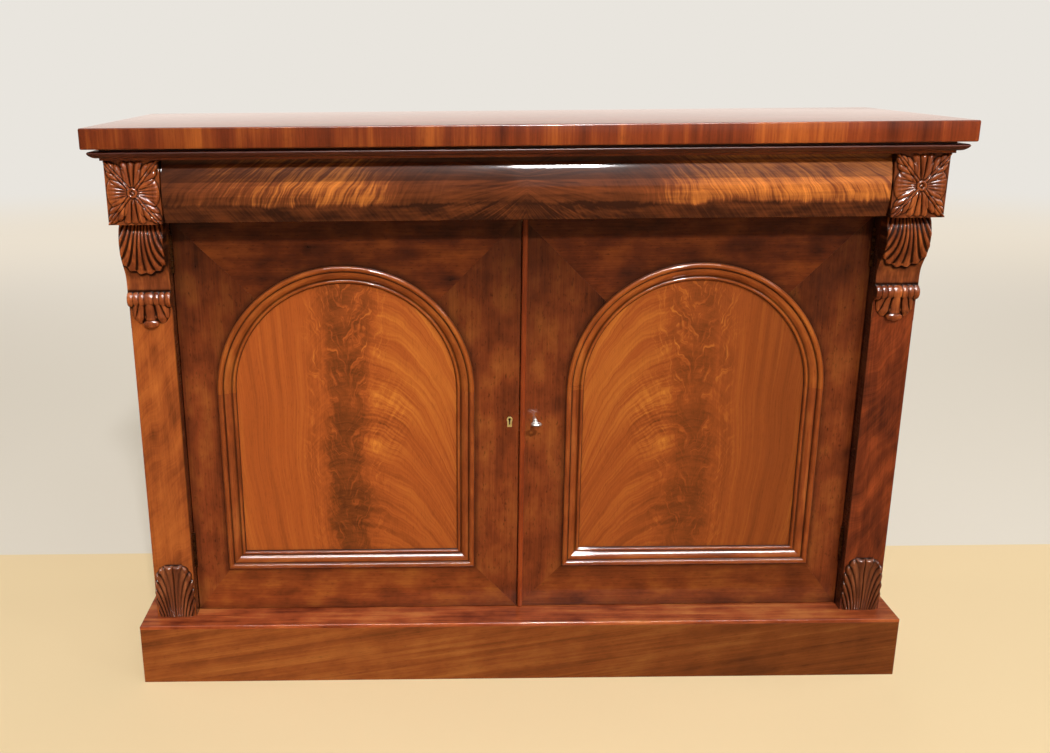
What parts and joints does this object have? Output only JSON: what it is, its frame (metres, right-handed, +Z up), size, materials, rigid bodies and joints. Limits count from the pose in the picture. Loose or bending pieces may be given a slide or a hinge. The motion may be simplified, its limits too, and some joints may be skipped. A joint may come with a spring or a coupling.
{
  "type": "chiffonier",
  "caption": "Two-door mahogany side cabinet with arched flame-veneered panels, carved consoles, a concealed frieze drawer and a plinth base.",
  "frame": {"origin": "centre of the outer box at floor level", "axes": "+X to the viewer's right along the width, front faces -Y, +Z up"},
  "size_m": [1.37, 0.452, 0.977],
  "materials": {
    "top_veneer": "polished mahogany veneer, crossbanded edge",
    "plinth_mahogany": "polished mahogany",
    "solid_mahogany": "polished mahogany",
    "pilaster_veneer": "polished mahogany veneer",
    "carved_mahogany": "carved and polished mahogany",
    "frame_veneer": "polished straight-grained mahogany veneer",
    "door_moulding": "polished mahogany moulding",
    "flame_veneer": "polished flame mahogany veneer",
    "pine": "planed pine, unfinished",
    "drawer_lining": "planed hardwood lining, waxed",
    "brass": "aged brass",
    "steel": "worn steel"
  },
  "bodies": {
    "carcass": {"back_boards": "pine", "carcass_bottom": "pine", "carcass_left": "solid_mahogany", "carcass_right": "solid_mahogany", "corbel_left": "carved_mahogany", "corbel_right": "carved_mahogany", "door_stop": "pine", "drawer_divider": "solid_mahogany", "drawer_runners": "pine", "foot_leaf_left": "carved_mahogany", "foot_leaf_right": "carved_mahogany", "front_stiles": "solid_mahogany", "hinge_frame_leaves": "brass", "patera_block_left": "carved_mahogany", "patera_block_right": "carved_mahogany", "pilaster_left": "pilaster_veneer", "pilaster_right": "pilaster_veneer", "plinth_back": "pine", "plinth_front": "plinth_mahogany", "plinth_glue_blocks": "pine", "plinth_ledge": "plinth_mahogany", "plinth_returns": "plinth_mahogany", "shelf": "pine", "shelf_bearers": "pine", "top_frame": "pine", "top_moulding": "solid_mahogany", "top_slab": "top_veneer"},
    "drawer": {"drawer_back": "drawer_lining", "drawer_bottom": "drawer_lining", "drawer_cushion": "flame_veneer", "drawer_front": "drawer_lining", "drawer_side_left": "drawer_lining", "drawer_side_right": "drawer_lining"},
    "left_door": {"left_door_bottom_rail": "frame_veneer", "left_door_escutcheon": "brass", "left_door_hinge_leaves": "brass", "left_door_hinge_stile": "frame_veneer", "left_door_meeting_stile": "frame_veneer", "left_door_mouldings": "door_moulding", "left_door_panel": "flame_veneer", "left_door_plates": "brass", "left_door_top_rail": "frame_veneer"},
    "right_door": {"right_door_astragal": "solid_mahogany", "right_door_bottom_rail": "frame_veneer", "right_door_hinge_leaves": "brass", "right_door_hinge_stile": "frame_veneer", "right_door_lock_case": "brass", "right_door_meeting_stile": "frame_veneer", "right_door_mouldings": "door_moulding", "right_door_panel": "flame_veneer", "right_door_top_rail": "frame_veneer"},
    "upper_bolt": {"left_door_upper_bolt": "brass"},
    "lower_bolt": {"left_door_lower_bolt": "brass"},
    "key": {"key": "steel"},
    "lock_bolt": {"lock_bolt": "brass"}
  },
  "joints": [
    {"name": "drawer_slide", "type": "slide", "parent": "carcass", "child": "drawer", "axis": [0, -1, 0], "range_m": [0, 0.28]},
    {"name": "left_door_hinge", "type": "hinge", "parent": "carcass", "child": "left_door", "pos_m": [-0.5805, -0.129, 0], "axis": [0, 0, -1], "range_deg": [0, 90]},
    {"name": "right_door_hinge", "type": "hinge", "parent": "carcass", "child": "right_door", "pos_m": [0.5805, -0.129, 0], "axis": [0, 0, 1], "range_deg": [0, 90]},
    {"name": "upper_bolt_slide", "type": "slide", "parent": "left_door", "child": "upper_bolt", "axis": [0, 0, 1], "range_m": [0, 0.009]},
    {"name": "lower_bolt_slide", "type": "slide", "parent": "left_door", "child": "lower_bolt", "axis": [0, 0, -1], "range_m": [0, 0.009]},
    {"name": "key_turn", "type": "hinge", "parent": "right_door", "child": "key", "pos_m": [0.025, -0.106, 0.474], "axis": [0, -1, 0], "range_deg": [0, 135]},
    {"name": "lock_bolt_slide", "type": "slide", "parent": "right_door", "child": "lock_bolt", "axis": [-1, 0, 0], "range_m": [0, 0.008]}
  ],
  "couplings": [
    {"joint": "key_turn", "follows": "lock_bolt_slide", "rad_per_m": 294.5}
  ]
}
